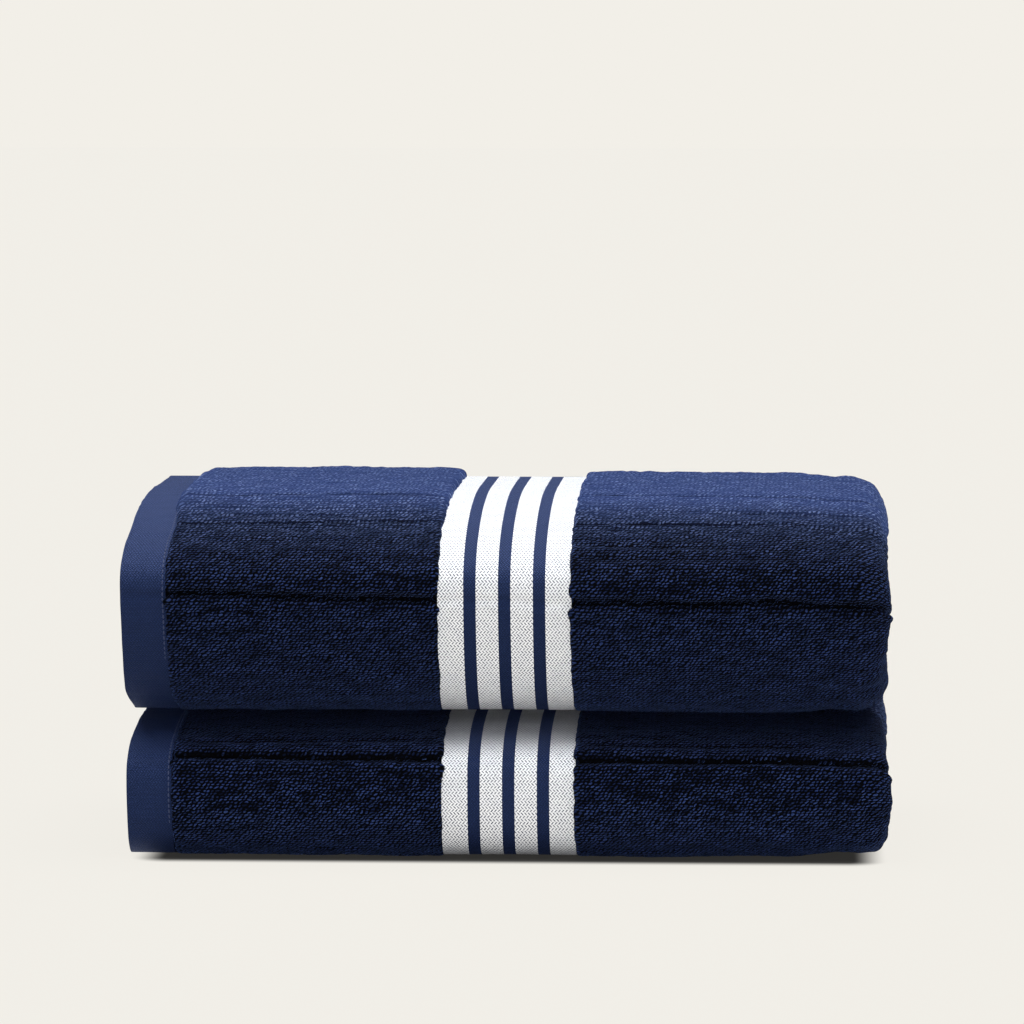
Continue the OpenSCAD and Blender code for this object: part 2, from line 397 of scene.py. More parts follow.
def folded_end(u, v):
    """Height near the fold on the right: it sinks in, and the cloth puckers along v."""
    near = ramp(u, END_RUN[0], END_RUN[1] - END_RUN[0])
    puckers = 0.8 * noise(u, v, 5.5, 60, 6) + 0.6 * noise(u, v, 11, 9, 7)
    corner = smooth((np.abs(v) - 5) / 30)
    return near * (puckers - END_SINK * (1 + corner))


def pile(u, v, towel):
    """Height of the terry: loft, soft swells, tufts, grooves and the folded end."""
    loft = towel.loft * ramp(v, 40, 60) * smooth((170 - u) / 30)
    swell = 0.55 * noise(u, v, 60, 22, 1) + 0.45 * noise(u, v, 21, 7, 2)
    tufts = 0.2 * noise(u, v, 6, 3.2, 3) + 0.24 * noise(u, v, 2.4, 1.8, 4)
    return 0.3 + loft + swell + tufts + grooves(u, v, towel.grooves) + folded_end(u, v)


def weave_relief(u, v, towel):
    """Height of a flat weave: soft swells, wrinkles in the hem, a trace of the crease."""
    wrinkles = 0.25 * noise(u, v, 14, 6, 8) * smooth((HEM_W - u) / 4)
    return 0.15 * noise(u, v, 30, 12, 5) + wrinkles + 0.2 * grooves(u, v, towel.grooves[:1])


def drift(u, v, towel):
    """How far the cloth has slipped along X: its near end bulges to the left round the nose."""
    near = smooth((DRIFT_REACH - u) / DRIFT_REACH)
    low = smooth((55 - v) / 60) - 1.4 * smooth((-60 - v) / 22)
    return -towel.bulge * near * (low + 0.2 * noise(u, v, 400, 16, 9))


# ---------------------------------------------------------------- meshes


class Mesh:
    """Vertices, faces, normals and cloth coordinates of one piece, gathered face by face.

    After u and v comes the painted shade, 1 deep in a groove or between the towels and 0 in the
    open, and then the painted top light, which rises from 0 to 1 towards the top.
    """

    def __init__(self):
        self.points, self.uvs, self.count = [], [], 0
        self.faces, self.face_normals = [], []

    def vertices(self, points, uv):
        """Adds rows of points with their cloth coordinates. Returns the first one's number."""
        first = self.count
        self.points.append(points.reshape(-1, 3))
        cloth = uv.reshape(-1, uv.shape[-1])
        self.uvs.append(np.pad(cloth, ((0, 0), (0, 4 - cloth.shape[1]))))
        self.count += points.shape[0] * points.shape[1]
        return first

    def add_faces(self, faces, normals=None):
        """Faces as rows of vertex numbers; normals per corner, or zero for their own."""
        self.faces.append(faces)
        if normals is None:
            normals = np.zeros(faces.shape + (3,))
        self.face_normals.append(normals)

    def grid(self, points, normals, uv, flip):
        """One face of a layer. Returns the numbers of its vertices."""
        rows, columns = points.shape[:2]
        first = self.vertices(points, uv)
        number = first + np.arange(rows * columns).reshape(rows, columns)
        quads = np.stack([number[:-1, :-1], number[1:, :-1], number[1:, 1:], number[:-1, 1:]], -1)
        quads = quads.reshape(-1, 4)
        if flip:
            quads = quads[:, ::-1]
        self.add_faces(quads, normals.reshape(-1, 3)[quads - first])
        return number

    def zip(self, a, at_a, b, at_b, flip):
        """Triangles between two rows of vertices that run the same way."""
        made, i, j = [], 0, 0
        while i < len(a) - 1 or j < len(b) - 1:
            step_a = j == len(b) - 1 or (i < len(a) - 1 and at_a[i + 1] <= at_b[j + 1])
            if step_a:
                made.append((a[i], a[i + 1], b[j]))
                i += 1
            else:
                made.append((a[i], b[j + 1], b[j]))
                j += 1
        faces = np.array(made)
        self.add_faces(faces[:, ::-1] if flip else faces)

    def build(self, name):
        """The finished object of that name."""
        points = np.concatenate(self.points) * MM
        mesh = bpy.data.meshes.new(name)
        mesh.vertices.add(len(points))
        mesh.vertices.foreach_set("co", points.astype(np.float32).ravel())
        corners = np.concatenate([f.ravel() for f in self.faces]).astype(np.int32)
        sizes = np.concatenate([np.full(len(f), f.shape[1]) for f in self.faces])
        starts = np.concatenate([[0], np.cumsum(sizes)[:-1]]).astype(np.int32)
        mesh.loops.add(len(corners))
        mesh.loops.foreach_set("vertex_index", corners)
        mesh.polygons.add(len(sizes))
        mesh.polygons.foreach_set("loop_start", starts)
        mesh.update(calc_edges=True)
        mesh.shade_smooth()
        layer = mesh.uv_layers.new(name="cloth")
        cloth = np.concatenate(self.uvs).astype(np.float32)
        layer.data.foreach_set("uv", cloth[corners, :2].ravel())
        # Point attributes: "shade" is the painted shade, and "open" is the painted top light.
        for label, values in (("shade", cloth[:, 2]), ("open", cloth[:, 3])):
            attribute = mesh.attributes.new(label, "FLOAT", "POINT")
            attribute.data.foreach_set("value", values)
        normals = np.concatenate([n.reshape(-1, 3) for n in self.face_normals])
        own = np.zeros(len(mesh.polygons) * 3, np.float32)
        mesh.polygons.foreach_get("normal", own)
        own = np.repeat(own.reshape(-1, 3), sizes, axis=0)
        normals = np.where(np.abs(normals).sum(1, keepdims=True) > 0, normals, own)
        mesh.normals_split_custom_set(normals.tolist())
        piece = bpy.data.objects.new(name, mesh)
        bpy.context.collection.objects.link(piece)
        return piece


def place(ribs, x, depth, panel):
    """Points in space for the cloth coordinates x and depth, one row for each of them."""
    share = (depth / panel)[:, None, None]
    section = lerp(ribs.outer[None], ribs.inner[None], share)
    x = np.broadcast_to(x[:, None, None], section.shape[:2] + (1,))
    return np.concatenate([x, section], 2)


def grid_normals(points, side):
    """Normals of a grid of points, on the side that is asked for."""
    along = np.gradient(points, axis=0)
    across = np.gradient(points, axis=1)
    normal = np.cross(across, along)
    normal /= np.maximum(np.linalg.norm(normal, axis=2, keepdims=True), 1e-9)
    return normal * side


def pile_state(u, v, towel, grooved):
    """Painted shade, in the grooves and where one towel nears the other, and painted top light of
    the pile.
    """
    covered = ramp(v, *COVER_AT)
    shade = towel.pressed * ramp(v, *SHADE_AT) * (1 - covered)
    if grooved:
        shade = np.clip(shade - grooves(u, v, towel.grooves) / GROOVE_DARK, 0, 1)
    painted_top_light = ramp(v, *TOP_LIGHT_AT) * np.maximum(1 - towel.pressed, COVER_TOP_LIGHT * covered)
    return shade, painted_top_light


def face(towel, path, ribs, offset, side, relief, sag):
    """One face of a layer: its points, normals, and cloth coordinates with the painted shade and
    top light.
    """
    at = path.at + path.facing * offset[:, None] * side
    points = place(ribs, at[:, 0], at[:, 1], towel.section.panel)
    u, v = np.meshgrid(path.u, ribs.v, indexing="ij")
    points[:, :, 0] += drift(u, v, towel)
    if sag is not None:
        drop, begin, run = sag
        points[:, :, 2] -= drop * smooth((begin - v) / run)
    normals = grid_normals(points, side)
    if relief is not None:
        points = points + normals * relief(u, v)[:, :, None]
        points[:, :, 2] = np.maximum(points[:, :, 2], towel.section.bottom + 0.05)
        normals = grid_normals(points, side)
    state = pile_state(u, v, towel, grooved=relief is not None and sag is None)
    return points, normals, np.stack([u, v, *state], 2)


def every(count, skip):
    """Every skip-th number below count, and always the last one."""
    return np.unique(np.append(np.arange(0, count, skip), count - 1))


def make_layer(towel, path, ribs, up, down, relief, sag=None):
    """Both faces of one layer of cloth, over all the ribs."""
    return SimpleNamespace(
        path=path, ribs=ribs, panel=towel.section.panel,
        middle=path.at[:, 1] + path.facing[:, 1] * (up - down) / 2,
        front=face(towel, path, ribs, up, 1, relief, sag),
        back=face(towel, path, ribs, down, -1, None, sag))


def add_layer(mesh, layer, keep, skip):
    """Adds a layer of cloth to mesh, as far as the ribs numbered in keep: faces and rims."""
    rows = every(len(layer.path.u), skip)
    columns = keep[every(len(keep), skip)]
    front = [values[:, keep] for values in layer.front]
    back = [values[np.ix_(rows, columns)] for values in layer.back]
    a = mesh.grid(*front, flip=True)
    b = mesh.grid(*back, flip=False)
    u, v = layer.path.u, layer.ribs.run[keep]
    ub, vb = u[rows], layer.ribs.run[columns]
    mesh.zip(a[:, 0], u, b[:, 0], ub, flip=False)
    mesh.zip(a[:, -1], u, b[:, -1], ub, flip=True)
    mesh.zip(a[0], v, b[0], vb, flip=True)
    mesh.zip(a[-1], v, b[-1], vb, flip=False)


# ---------------------------------------------------------------- materials


class Tree:
    """Node tree of one material, with short ways to add nodes."""

    def __init__(self, name):
        self.material = bpy.data.materials.new(name)
        self.material.use_nodes = True
        self.nodes = self.material.node_tree.nodes
        self.links = self.material.node_tree.links
        self.shader = self.nodes["Principled BSDF"]
        uv = self.nodes.new("ShaderNodeUVMap")
        uv.uv_map = "cloth"
        split = self.nodes.new("ShaderNodeSeparateXYZ")
        self.links.new(uv.outputs[0], split.inputs[0])
        self.uv, self.u, self.v = uv.outputs[0], split.outputs[0], split.outputs[1]

    def feed(self, socket, value):
        if isinstance(value, bpy.types.NodeSocket):
            self.links.new(value, socket)
        else:
            socket.default_value = value

    def math(self, operation, *values):
        node = self.nodes.new("ShaderNodeMath")
        node.operation = operation
        for socket, value in zip(node.inputs, values):
            self.feed(socket, value)
        return node.outputs[0]

    def vector(self, x, y):
        node = self.nodes.new("ShaderNodeCombineXYZ")
        for socket, value in zip(node.inputs, (x, y)):
            self.feed(socket, value)
        return node.outputs[0]

    def noise(self, vector, scale, detail):
        node = self.nodes.new("ShaderNodeTexNoise")
        node.inputs["Scale"].default_value = scale
        node.inputs["Detail"].default_value = detail
        self.links.new(vector, node.inputs["Vector"])
        return node.outputs["Fac"]

    def white_noise(self, vector):
        node = self.nodes.new("ShaderNodeTexWhiteNoise")
        node.noise_dimensions = "2D"
        self.links.new(vector, node.inputs["Vector"])
        return node.outputs["Value"]

    def attribute(self, name):
        node = self.nodes.new("ShaderNodeAttribute")
        node.attribute_name = name
        return node.outputs["Fac"]

    def range(self, value, from_low, from_high, to_low=0.0, to_high=1.0):
        """The value carried smoothly from one range to another."""
        node = self.nodes.new("ShaderNodeMapRange")
        node.interpolation_type = "SMOOTHSTEP"
        for i, number in enumerate((value, from_low, from_high, to_low, to_high)):
            self.feed(node.inputs[i], number)
        return node.outputs[0]

    def mix(self, share, low, high):
        node = self.nodes.new("ShaderNodeMix")
        node.data_type = "RGBA"
        self.feed(node.inputs["Factor"], share)
        self.feed(node.inputs["A"], low)
        self.feed(node.inputs["B"], high)
        return node.outputs["Result"]

    def bump(self, height, distance):
        node = self.nodes.new("ShaderNodeBump")
        node.inputs["Distance"].default_value = distance * MM
        self.links.new(height, node.inputs["Height"])
        self.links.new(node.outputs[0], self.shader.inputs["Normal"])

    def set(self, **values):
        """Constant values, set on the shader's own sockets."""
        for name, value in values.items():
            self.shader.inputs[name.replace("_", " ")].default_value = value

    def cells(self, pitch_u, pitch_v, u=None, v=None, shift=0.5):
        """Staggered rows of cells: position in a cell from -0.5 to 0.5, and its number."""
        a = self.math("DIVIDE", self.u if u is None else u, pitch_u)
        b = self.math("DIVIDE", self.v if v is None else v, pitch_v)
        row = self.math("FLOOR", b)
        odd = self.math("FLOORED_MODULO", row, 2.0)
        a = self.math("MULTIPLY_ADD", odd, shift, a)
        column = self.math("FLOOR", a)
        return SimpleNamespace(
            x=self.math("SUBTRACT", self.math("FRACT", a), 0.5),
            y=self.math("SUBTRACT", self.math("FRACT", b), 0.5),
            odd=odd,
            number=self.vector(column, row),
        )


def rgb(red, green, blue):
    """Linear colour from an sRGB one of 0 to 255."""
    def linear(c):
        c /= 255
        return c / 12.92 if c <= 0.04045 else ((c + 0.055) / 1.055) ** 2.4
    return (linear(red), linear(green), linear(blue), 1.0)


def terry_material():
    """Loops of yarn in rows, rising to the right, with painted shade in the gaps between them."""
    tree = Tree("navy_terry")
    sway = tree.math("SUBTRACT", tree.noise(tree.uv, 0.2, 3.0), 0.5)
    lift = tree.math("SUBTRACT", tree.noise(tree.vector(tree.v, tree.u), 0.25, 3.0), 0.5)
    u = tree.math("MULTIPLY_ADD", sway, 3.4, tree.u)
    v = tree.math("MULTIPLY_ADD", lift, 2.8, tree.v)
    # The "open" attribute is the painted top light; it also spaces the rows wider on top.
    painted_top_light = tree.attribute("open")
    v = tree.math("MULTIPLY", v, tree.math("MULTIPLY_ADD", painted_top_light, -0.38, 1.0))
    cell = tree.cells(2.3, 1.5, u, v, shift=0.37)
    luck = tree.white_noise(cell.number)
    lean = tree.math("MULTIPLY_ADD", cell.x, -0.5, cell.y)
    long = tree.math("MULTIPLY", cell.x, 2.1)
    wide = tree.math("MULTIPLY", lean, 2.9)
    away = tree.math("ADD", tree.math("POWER", long, 2.0), tree.math("POWER", wide, 2.0))
    loop = tree.range(away, 1.1, 0.05)
    tall = tree.math("MULTIPLY", loop, tree.math("MULTIPLY_ADD", luck, 0.6, 0.4))
    fuzz = tree.noise(tree.uv, 2.6, 2.0)
    tall = tree.math("MULTIPLY", tall, tree.range(fuzz, 0.25, 0.6, 0.7, 1.0))
    streak = tree.noise(tree.vector(tree.u, tree.math("MULTIPLY", tree.v, 2.6)), 0.07, 4.0)
    patch = tree.range(streak, 0.36, 0.62)
    # Painted light: the yarn is painted darker at the front and lighter on top, and the gaps are
    # painted nearly black as shade at the front, lighter on top.
    front = tree.mix(patch, rgb(24, 36, 76), rgb(54, 73, 130))
    top = tree.mix(patch, rgb(84, 102, 148), rgb(136, 153, 198))
    yarn = tree.mix(painted_top_light, front, top)
    gap = tree.mix(tree.math("POWER", painted_top_light, 3.0), rgb(1, 2, 6), rgb(44, 58, 102))
    colour = tree.mix(tree.range(tall, 0.12, 0.85), gap, yarn)
    # Painted shade in the grooves and between the towels, from the "shade" attribute.
    shade = tree.attribute("shade")
    tree.feed(tree.shader.inputs["Base Color"], tree.mix(shade, colour, rgb(1, 1, 4)))
    height = tree.math("MULTIPLY_ADD", fuzz, 0.25, tall)
    tree.bump(height, 1.5)
    tree.set(Roughness=0.95, Sheen_Weight=0.25, Sheen_Roughness=0.12,
             Sheen_Tint=rgb(130, 165, 250), Specular_IOR_Level=0.05)
    return tree.material


def slanted_dashes(tree, pitch_u, pitch_v, lean):
    """Staggered rows of short threads that lean one way and then the other, and their cells."""
    cell = tree.cells(pitch_u, pitch_v)
    way = tree.math("MULTIPLY_ADD", cell.odd, -2.0 * lean, lean)
    off = tree.math("ABSOLUTE", tree.math("SUBTRACT", cell.x, tree.math("MULTIPLY", cell.y, way)))
    along = tree.math("ABSOLUTE", cell.y)
    dash = tree.math("MULTIPLY", tree.range(off, 0.26, 0.1), tree.range(along, 0.5, 0.3))
    return dash, cell


def white_material():
    """Heavy white weft in rows, with small dark gaps where the warp shows, and painted shade
    between the towels.
    """
    tree = Tree("white_weave")
    dash, cell = slanted_dashes(tree, 1.75, 1.6, 0.7)
    soft = tree.range(tree.noise(tree.uv, 0.12, 2.0), 0.3, 0.7)
    cloth = tree.mix(soft, rgb(249, 249, 252), rgb(254, 254, 255))
    luck = tree.white_noise(cell.number)
    gap = tree.math("MULTIPLY", dash, tree.math("MULTIPLY_ADD", luck, 0.3, 0.7))
    colour = tree.mix(gap, cloth, rgb(72, 76, 96))
    # Painted shade where the towels come close, from the "shade" attribute.
    dark = tree.math("MULTIPLY", tree.attribute("shade"), 0.7)
    tree.feed(tree.shader.inputs["Base Color"], tree.mix(dark, colour, rgb(40, 42, 56)))
    fine = tree.noise(tree.uv, 3.0, 2.0)
    tree.bump(tree.math("MULTIPLY_ADD", fine, 0.3, tree.math("SUBTRACT", 1.0, dash)), 0.35)
    tree.set(Roughness=0.8, Sheen_Weight=0.1, Specular_IOR_Level=0.3)
    return tree.material


def navy_weave_material():
    """Fine navy twill of the hems and stripes, its threads painted lighter towards the top as a
    highlight.
    """
    tree = Tree("navy_weave")
    dash, cell = slanted_dashes(tree, 1.5, 1.35, 0.7)
    luck = tree.white_noise(cell.number)
    # Painted highlight: the threads are painted lighter towards the top, by the "open" attribute.
    painted_highlight = tree.math("SQRT", tree.attribute("open"))
    cloth = tree.mix(luck, rgb(4, 6, 20), rgb(8, 12, 32))
    thread = tree.mix(painted_highlight, rgb(21, 31, 66), rgb(86, 102, 154))
    colour = tree.mix(tree.math("MULTIPLY", dash, 0.9), cloth, thread)
    tree.feed(tree.shader.inputs["Base Color"], colour)
    fine = tree.noise(tree.uv, 3.0, 2.0)
    tree.bump(tree.math("MULTIPLY_ADD", fine, 0.4, dash), 0.7)
    tree.set(Roughness=0.66, Sheen_Weight=0.08, Sheen_Roughness=0.4,
             Sheen_Tint=rgb(120, 150, 235), Specular_IOR_Level=1.0,
             Specular_Tint=rgb(120, 155, 240))
    return tree.material


def thread_material():
    """Sewing thread, twisted from paler and darker plies."""
    tree = Tree("navy_thread")
    ply = tree.math("SINE", tree.math("MULTIPLY", tree.math("ADD", tree.u, tree.v), 9.0))
    twist = tree.range(ply, -1.0, 1.0)
    tree.feed(tree.shader.inputs["Base Color"], tree.mix(twist, rgb(24, 32, 62), rgb(60, 74, 118)))
    tree.bump(twist, 0.1)
    tree.set(Roughness=0.5)
    return tree.material


def label_material():
    """White satin tape with a fine check of warp and weft."""
    tree = Tree("label_tape")
    warp = tree.math("SINE", tree.math("MULTIPLY", tree.u, 9.0))
    weft = tree.math("SINE", tree.math("MULTIPLY", tree.v, 9.0))
    satin = tree.range(tree.math("MULTIPLY", warp, weft), -1.0, 1.0)
    colour = tree.mix(satin, rgb(222, 222, 218), rgb(242, 242, 240))
    tree.feed(tree.shader.inputs["Base Color"], colour)
    tree.bump(satin, 0.06)
    tree.set(Roughness=0.55)
    return tree.material


MATERIALS = {
    "terry": (terry_material(), "navy_terry"),
    "weave": (navy_weave_material(), "navy_weave"),
    "white": (white_material(), "white_weave"),
    "thread": (thread_material(), "navy_thread"),
    "label": (label_material(), "label_tape"),
}

# ---------------------------------------------------------------- the towels


def stripes(start):
    """Border from its first thread: (u from, u to) of the white and of the navy stripes."""
    widths = [WHITE_EDGE_W, NAVY_W, WHITE_MID_W, NAVY_W, WHITE_MID_W, NAVY_W, WHITE_EDGE_W]
    edges = start + np.concatenate([[0], np.cumsum(widths)])
    spans = list(zip(edges[:-1], edges[1:]))
    return spans[0::2], spans[1::2]


def strips(strip):
    """Every strip of the cloth: name, kind, its spans along u, spacing and CAD node."""
    total, end = strip.total, strip.outer_turn_end
    border = HEM_W + TERRY_END_W
    field = border + BORDER_W
    white, navy = stripes(border)
    near = [
        ("end_hem", "weave", [(0, HEM_W)], FINE),
        ("terry_end", "terry", [(HEM_W, border)], FINE),
        ("border_white", "white", white, FINE),
        ("border_navy", "weave", navy, FINE),
        ("terry_field", "terry", [(field, end)], FINE),
    ]
    far = [("far_" + name, kind, [(total - b, total - a) for a, b in spans], COARSE)
           for name, kind, spans, _ in near[:4]]
    rest = [("terry_field_inner", "terry", [(end, total - field)], COARSE)]
    return near + rest + far


def half_thickness(kind, towel, u, outer):
    """How far the two faces of a strip lie from its middle line."""
    layer = towel.section.layer
    if kind == "terry":
        half = np.full(len(u), LAYER_FILL * layer / 2)
        if not outer:
            return half, half
        edge = u - u[0]
        if u[-1] < towel.strip.outer_turn_end - 1:
            edge = np.minimum(edge, u[-1] - u)
        round_off = 1 - np.sqrt(1 - np.clip(1 - edge / PILE_EDGE, 0, 1) ** 2)
        return half - (PILE_H - PILE_FOOT) * round_off, half
    up = np.full(len(u), layer / 2 - PILE_H)
    down = np.full(len(u), WEAVE_T) - up
    return up, down


def relief_of(kind, towel, outer):
    """Height over the outer face, as a function of u and v; inner layers have none."""
    if not outer:
        return None
    if kind == "terry":
        return lambda u, v: pile(u, v, towel)
    return lambda u, v: weave_relief(u, v, towel)


def finish_piece(piece, kind, nodes):
    """Gives a piece its material and hides the CAD nodes that it stands for."""
    material, slot = MATERIALS[kind]
    piece.data.materials.append(material)
    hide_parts(*nodes)


def towel_parts(section, spacing_top, spacing_front):
    """Ribs of every part of the section that the strips cross, with v counted from the nose."""
    start = TOP_EDGE - SIDE_HEM_W
    parts = [
        ("top", lambda t: section.top_panel(t, start), spacing_top),
        ("wrap", section.upper_wrap, spacing_front),
        ("wrap", section.lower_wrap, spacing_front),
        ("base", section.bottom_panel, COARSE),
        ("base", section.back_fold, MEDIUM),
        ("base", section.middle_panel, COARSE),
    ]
    ribs = section.ribs(parts)
    nose = ribs.run[np.argmin(ribs.outer[:, 0])]
    ribs.v = nose - ribs.run
    return ribs


def part_ribs(ribs, name):
    """Numbers of the ribs of one part, and of the rib before it, which it starts from."""
    if name == "all":
        return np.arange(len(ribs.v))
    inside = np.flatnonzero(ribs.part == name)
    return np.arange(max(inside[0] - 1, 0), inside[-1] + 1)


def cut_length(layer, keep):
    """Length of a layer's middle surface across the cloth, which is what was cut for it."""
    rows = slice(None, None, 10)
    columns = layer.ribs.outer[keep], layer.ribs.inner[keep]
    share = (layer.middle[rows] / layer.panel)[:, None, None]
    lines = lerp(columns[0][None], columns[1][None], share)
    return float(np.hypot(*np.moveaxis(np.diff(lines, axis=1), 2, 0)).sum(1).mean())


def hold(piece, towel, part):
    """Rides the piece on its body; a piece of the front wrap stays where it is, on no body."""
    if towel.name == "lower":
        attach(piece, "lower_towel")
    elif part == "top":
        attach(piece, "upper_flap")
    elif part == "base":
        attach(piece, "upper_towel")
    else:
        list(wrap_ramp(towel.section))
        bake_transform(piece)


def wrap_ramp(section):
    """Start and end of the bend: across the line from the hinge to the wrap's inner face."""
    hinge = np.array([HINGE_Y, HINGE_Z])
    inner = np.array([section.wrap_y - section.panel / 2, section.wrap_mid])
    along = (inner - hinge) / np.linalg.norm(inner - hinge)
    across = np.array([-along[1], along[0]])
    lowest = (np.array([section.wrap_y, section.seam(section.wrap_y, 1)]) - hinge) @ across
    highest = (np.array([section.wrap_y, section.seam(section.wrap_y, 2)]) - hinge) @ across
    ends = [hinge + across * (lowest + 0.5), hinge + across * (highest - 0.5)]
    return [(0.0, end[0] * MM, end[1] * MM) for end in ends]


PART_NAMES = {"top": "top_panel", "wrap": "front_wrap", "base": "base_panels"}


def build_strips(towel):
    """Every strip of the cloth, as one sheet for each part of the towel it crosses."""
    section = towel.section
    fine = towel_parts(section, towel.top_spacing, FINE)
    coarse = towel_parts(section, COARSE, MEDIUM)
    for name, kind, spans, spacing in strips(towel.strip):
        outer = spacing == FINE
        ribs = fine if outer else coarse
        relief = relief_of(kind, towel, outer)
        sag = towel.sag if outer and kind != "terry" else None
        layers = []
        for u0, u1 in spans:
            path = towel.strip.cut(u0, u1, spacing)
            up, down = half_thickness(kind, towel, path.u, outer)
            layers.append(make_layer(towel, path, ribs, up, down, relief, sag))
        width = sum(u1 - u0 for u0, u1 in spans)
        for part in towel.parts:
            keep = part_ribs(ribs, part)
            mesh = Mesh()
            for layer in layers:
                add_layer(mesh, layer, keep, SKIP if outer else 1)
            piece = mesh.build(piece_name(towel, part, name))
            flat = (width * MM, cut_length(layers[0], keep) * MM)
            nodes = towel.nodes(part, name.replace("_inner", ""))
            finish_piece(piece, kind, nodes)
            hold(piece, towel, part)


def build_side_hem(towel, shape, name, node, body):
    """Narrow hem along one long side of the cloth, through all the layers of a panel."""
    spacing = COARSE / 2
    ribs = towel.section.ribs([("hem", shape, spacing)])
    ribs.v = -ribs.run
    path = towel.strip.cut(0, towel.strip.total, spacing)
    half = np.full(len(path.u), SIDE_HEM_T / 2)
    layer = make_layer(towel, path, ribs, half, half, None)
    keep = np.arange(len(ribs.v))
    mesh = Mesh()
    add_layer(mesh, layer, keep, 1)
    piece = mesh.build(name)
    width = math.ceil(cut_length(layer, keep) * 10) / 10
    finish_piece(piece, "weave", [node])
    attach(piece, body)


def stitch_row(towel, keep, ribs):
    """A row of thread over the outer face of the near hem: one bead for each stitch."""
    section = towel.section
    mesh = Mesh()
    ring = np.radians(np.arange(0, 360, 60))
    ends = np.array([-1.0, -0.75, 0.0, 0.75, 1.0])
    width = np.sqrt(np.maximum(1 - ends**4, 0.02))
    u = HEM_W - 1.5 * STITCH_W
    for v in np.arange(ribs.run[keep[0]] + STITCH_PITCH / 2, ribs.run[keep[-1]], STITCH_PITCH):
        run = v + ends * STITCH_L / 2
        at = np.stack([np.interp(run, ribs.run, column) for column in
                       (*ribs.outer.T, *ribs.inner.T)], 1)
        inward = at[:, 2:] - at[:, :2]
        depth = PILE_H / section.panel
        centre = at[:, :2] + inward * depth
        inward /= np.linalg.norm(inward, axis=1, keepdims=True)
        side = np.cos(ring)[None] * width[:, None] * STITCH_W / 2
        lift = np.sin(ring)[None] * width[:, None] * STITCH_H
        place_v = np.interp(run, ribs.run, ribs.v)[:, None]
        x = towel.strip.left + u + side + drift(u, place_v, towel)
        y = centre[:, :1] - inward[:, :1] * lift
        z = centre[:, 1:] - inward[:, 1:] * lift
        add_bead(mesh, np.stack([x, y, z], 2), u + side, place_v + 0 * side)
    return mesh


def add_bead(mesh, points, u, v):
    """A closed tube through rings of points, with flat ends."""
    rings, sides = points.shape[:2]
    first = mesh.vertices(points, np.stack([u, v], 2))
    number = first + np.arange(rings * sides).reshape(rings, sides)
    turned = np.roll(number, -1, axis=1)
    quads = np.stack([number[:-1], turned[:-1], turned[1:], number[1:]], -1).reshape(-1, 4)
    mesh.add_faces(quads)
    mesh.add_faces(number[:1, ::-1])
    mesh.add_faces(number[-1:])


def build_stitches(towel, ribs):
    """The row of stitches beside the near hem, split where the towel's parts meet."""
    for part in towel.parts:
        row = stitch_row(towel, part_ribs(ribs, part), ribs)
        piece = row.build(piece_name(towel, part, "hem_stitching"))
        finish_piece(piece, "thread", towel.nodes(part, "hem_stitching"))
        hold(piece, towel, part)


def build_label(name, node, body):
    """Blank label of satin tape, sewn into the edge of the top panel; it droops a little."""
    (x0, x1), (y0, y1), (z0, z1) = (extent(node, axis) for axis in range(3))
    x, run = np.meshgrid(np.linspace(x0, x1, 14), np.linspace(0, 1, 9), indexing="ij")
    y = lerp(y0, y1, run)
    droop = 2.2 * run**2 + 0.5 * run * np.sin((x - x0) / 7)
    uv = np.stack([x, y], 2)
    mesh = Mesh()
    top = np.stack([x, y, z1 - droop], 2)
    under = np.stack([x, y, z0 - droop], 2)
    a = mesh.grid(top, np.zeros_like(top), uv, flip=False)
    b = mesh.grid(under, np.zeros_like(under), uv, flip=True)
    forth, back = slice(None), slice(None, None, -1)
    for edge in ((0, forth), (forth, -1), (-1, back), (back, 0)):
        upper_row, lower_row = a[edge], b[edge]
        mesh.add_faces(np.stack([upper_row[:-1], upper_row[1:], lower_row[1:], lower_row[:-1]], 1))
    piece = mesh.build(name)
    finish_piece(piece, "label", [node])
    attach(piece, body)


def piece_name(towel, part, name):
    """Name of a strip's piece, after the part of the towel it lies in."""
    return f"{towel.name}_towel_{name}" if part == "all" else f"{PART_NAMES[part]}_{name}"


def lower_nodes(part, name):
    """CAD nodes that a piece of the lower towel stands for."""
    return [f"lower_{name}"]


def upper_nodes(part, name):
    """CAD nodes that a piece of the upper towel stands for; the wrap spans both bodies."""
    if part == "top":
        return [f"flap_{name}"]
    if part == "base":
        return [f"upper_{name}"]
    return [f"flap_{name}", f"upper_{name}"]


def make_towel(name, section, **facts):
    """A towel's section and strip, with the facts that set it apart.

    loft: how much the pile rises on top; bulge: see drift; sag: how far the flat weaves hang
    under the front, below which v, and over what run; the painted shade: how much shade is painted
    where the other towel comes close, which also dims the painted top light.
    """
    left, fold_x = extent(name + "_end_hem", 0)[0], extent(name + "_terry_field", 0)[0]
    return SimpleNamespace(name=name, section=section, strip=Strip(section, left, fold_x), **facts)


